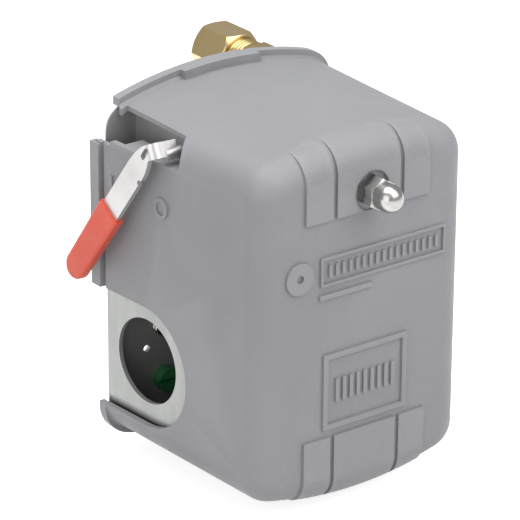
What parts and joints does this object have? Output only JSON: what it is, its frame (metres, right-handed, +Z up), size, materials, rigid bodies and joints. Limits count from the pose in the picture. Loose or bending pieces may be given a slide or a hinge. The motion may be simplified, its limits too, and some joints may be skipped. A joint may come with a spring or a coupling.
{
  "type": "air compressor pressure switch",
  "caption": "Pressure switch with a bowed moulded cover, side lever with a dipped grip, conduit holes in steel flanges, domed cover nut, brass release valve and rear pressure port.",
  "frame": {"origin": "centre of the pressure port's mouth, on the port's axis", "axes": "+Y along the port's axis out of the back; +Z up as the switch stands in the picture, towards the cover nut; the lever is on the -X side"},
  "size_m": [0.0782, 0.0952, 0.0978],
  "materials": {
    "grey_plastic": "fine moulded grain, satin",
    "plated_nut": "polished plating, slightly dull",
    "zinc_steel": "zinc plated, cool grey",
    "bright_steel": "bright, faintly brushed",
    "screw_steel": "zinc plated",
    "spring_steel": "dark drawn wire",
    "cast_housing": "die cast, matt",
    "black_rubber": "matt",
    "black_plastic": "matt moulded",
    "contact_metal": "satin",
    "green_screw": "green lacquer",
    "red_vinyl": "soft dip coating, slight sheen",
    "brass": "turned, satin"
  },
  "bodies": {
    "frame": {"bracket": "zinc_steel", "diaphragm": "black_rubber", "diaphragm_housing": "cast_housing", "housing_screws": "screw_steel", "hinge_bracket": "zinc_steel", "hinge_pin": "screw_steel", "range_stud": "screw_steel", "range_spring": "spring_steel", "range_spring_retainer": "zinc_steel", "differential_stud": "screw_steel", "differential_spring": "spring_steel", "contact_block": "black_plastic", "fixed_contacts": "contact_metal", "terminal_plates": "contact_metal", "terminal_clamps": "zinc_steel", "terminal_screws": "screw_steel", "block_legs": "zinc_steel", "block_screws": "screw_steel", "ground_screws": "green_screw", "lever_bracket": "zinc_steel", "valve_body": "brass", "tube_ferrule": "brass"},
    "cover": {"cover": "grey_plastic"},
    "cover_nut": {"cover_nut": "plated_nut"},
    "lever": {"lever": "bright_steel", "lever_grip": "red_vinyl", "lever_shaft": "bright_steel", "lever_cam": "black_plastic", "shaft_clip": "spring_steel"},
    "beam": {"main_beam": "zinc_steel", "range_spring_seat": "zinc_steel"},
    "pusher": {"pusher": "black_plastic"},
    "contact_carrier": {"contact_carrier": "black_plastic", "contact_bars": "contact_metal"},
    "valve_stem": {"valve_stem": "bright_steel"},
    "range_nut": {"range_nut": "screw_steel"},
    "differential_nut": {"differential_nut": "screw_steel"},
    "tube_nut": {"tube_nut": "brass"}
  },
  "joints": [
    {"name": "cover_slide", "type": "slide", "parent": "frame", "child": "cover", "axis": [0, -1, 0], "range_m": [0, 0.078]},
    {"name": "cover_nut_turn", "type": "hinge", "parent": "cover", "child": "cover_nut", "pos_m": [0.001, -0.084, 0.0336], "axis": [0, 1, 0], "continuous": true},
    {"name": "lever_hinge", "type": "hinge", "parent": "frame", "child": "lever", "pos_m": [-0.024, -0.0456, 0.0389], "axis": [1, 0, 0], "range_deg": [-36, 0]},
    {"name": "beam_hinge", "type": "hinge", "parent": "frame", "child": "beam", "pos_m": [0, -0.0302, -0.012], "axis": [1, 0, 0], "range_deg": [0, 4], "stiffness_Nm_per_rad": 4, "springref_deg": -4.01, "deforming": ["range_spring", "differential_spring"]},
    {"name": "pusher_slide", "type": "slide", "parent": "frame", "child": "pusher", "axis": [0, -1, 0], "range_m": [0, 0.00086]},
    {"name": "carrier_slide", "type": "slide", "parent": "frame", "child": "contact_carrier", "axis": [0, 1, 0], "range_m": [0, 0.00064]},
    {"name": "stem_slide", "type": "slide", "parent": "frame", "child": "valve_stem", "axis": [0, -1, 0], "range_m": [0, 0.0038]},
    {"name": "range_nut_turn", "type": "hinge", "parent": "frame", "child": "range_nut", "pos_m": [0.001, -0.062, 0.0336], "axis": [0, 1, 0], "continuous": true},
    {"name": "differential_nut_turn", "type": "hinge", "parent": "frame", "child": "differential_nut", "pos_m": [0, -0.051, 0.018], "axis": [0, 1, 0], "continuous": true},
    {"name": "tube_nut_turn", "type": "hinge", "parent": "frame", "child": "tube_nut", "pos_m": [0.01625, -0.004, 0.04195], "axis": [0, 1, 0], "continuous": true}
  ],
  "couplings": [
    {"joint": "pusher_slide", "follows": "beam_hinge", "m_per_rad": 0.012},
    {"joint": "carrier_slide", "follows": "beam_hinge", "m_per_rad": 0.009},
    {"joint": "stem_slide", "follows": "beam_hinge", "m_per_rad": 0.054}
  ]
}
